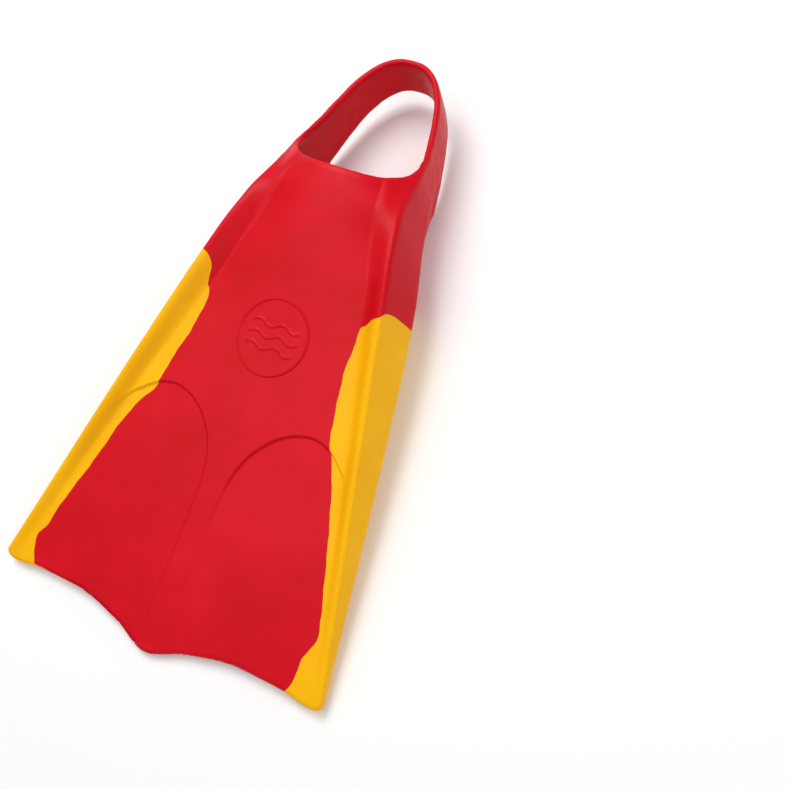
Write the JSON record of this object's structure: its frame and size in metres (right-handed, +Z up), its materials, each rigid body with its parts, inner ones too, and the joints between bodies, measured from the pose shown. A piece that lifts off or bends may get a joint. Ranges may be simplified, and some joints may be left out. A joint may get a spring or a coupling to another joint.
{
  "type": "swim fin",
  "caption": "Short symmetric bodyboard swim fin with an open-toe foot pocket, heel strap, raised side rails and a scalloped blade.",
  "frame": {"origin": "centre of the footprint, on the plane of the rails' lower lands", "axes": "-Y towards the blade tip, +Y towards the heel strap, +Z up through the instep, +X right seen from above with the tip nearest"},
  "size_m": [0.2412, 0.4244, 0.072],
  "materials": {
    "red_rubber": "moulded, semi-gloss",
    "yellow_rubber": "moulded, semi-gloss"
  },
  "bodies": {
    "foot_pocket": {"blade_root": "red_rubber", "left_rail_root": "yellow_rubber", "right_rail_root": "yellow_rubber", "left_side_wall": "red_rubber", "right_side_wall": "red_rubber", "instep_cover": "red_rubber", "sole_plate": "red_rubber", "emblem_disc": "red_rubber"},
    "blade": {"left_rail": "yellow_rubber", "right_rail": "yellow_rubber", "left_blade_panel": "red_rubber", "right_blade_panel": "red_rubber", "blade_spine": "red_rubber"},
    "strap": {"heel_strap": "red_rubber"}
  },
  "joints": [
    {"name": "blade_flex", "type": "hinge", "parent": "foot_pocket", "child": "blade", "pos_m": [0, -0.06775, 0.02], "axis": [1, 0, 0], "range_deg": [-25, 25], "stiffness_Nm_per_rad": 6},
    {"name": "heel_strap_flex", "type": "hinge", "parent": "foot_pocket", "child": "strap", "pos_m": [0, 0.12225, 0.03], "axis": [1, 0, 0], "range_deg": [-25, 25], "stiffness_Nm_per_rad": 1.2}
  ]
}
